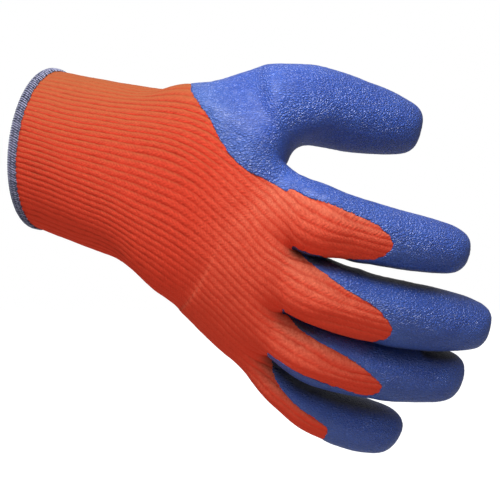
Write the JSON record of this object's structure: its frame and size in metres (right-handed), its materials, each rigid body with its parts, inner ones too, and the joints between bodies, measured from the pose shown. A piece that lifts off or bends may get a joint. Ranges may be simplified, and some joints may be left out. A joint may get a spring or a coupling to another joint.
{
  "type": "thermal work glove",
  "caption": "Right-hand thermal work glove in thick ribbed knit with a crinkled latex dip over palm, thumb and fingertips and an overlocked cuff edge, shown filled as worn.",
  "frame": {"origin": "centre of the wrist opening, in the plane of the overlocked hem", "axes": "+X runs from the cuff towards the fingertips, +Z towards the thumb side, and the back of the hand faces -Y"},
  "size_m": [0.2363, 0.1059, 0.1918],
  "materials": {
    "knit": "thick seamless rib knit in slightly fluorescent orange acrylic, matt and fuzzy",
    "latex": "crinkle-finish natural latex dip, mid blue with a soft low sheen",
    "hem": "overlock stitching in mottled grey-blue thread, matt"
  },
  "bodies": {
    "root": {"knit_hand": "knit", "knit_thumb": "knit", "knit_index": "knit", "knit_middle": "knit", "knit_ring": "knit", "knit_little": "knit", "latex_coating": "latex", "cuff_hem": "hem"}
  },
  "joints": []
}
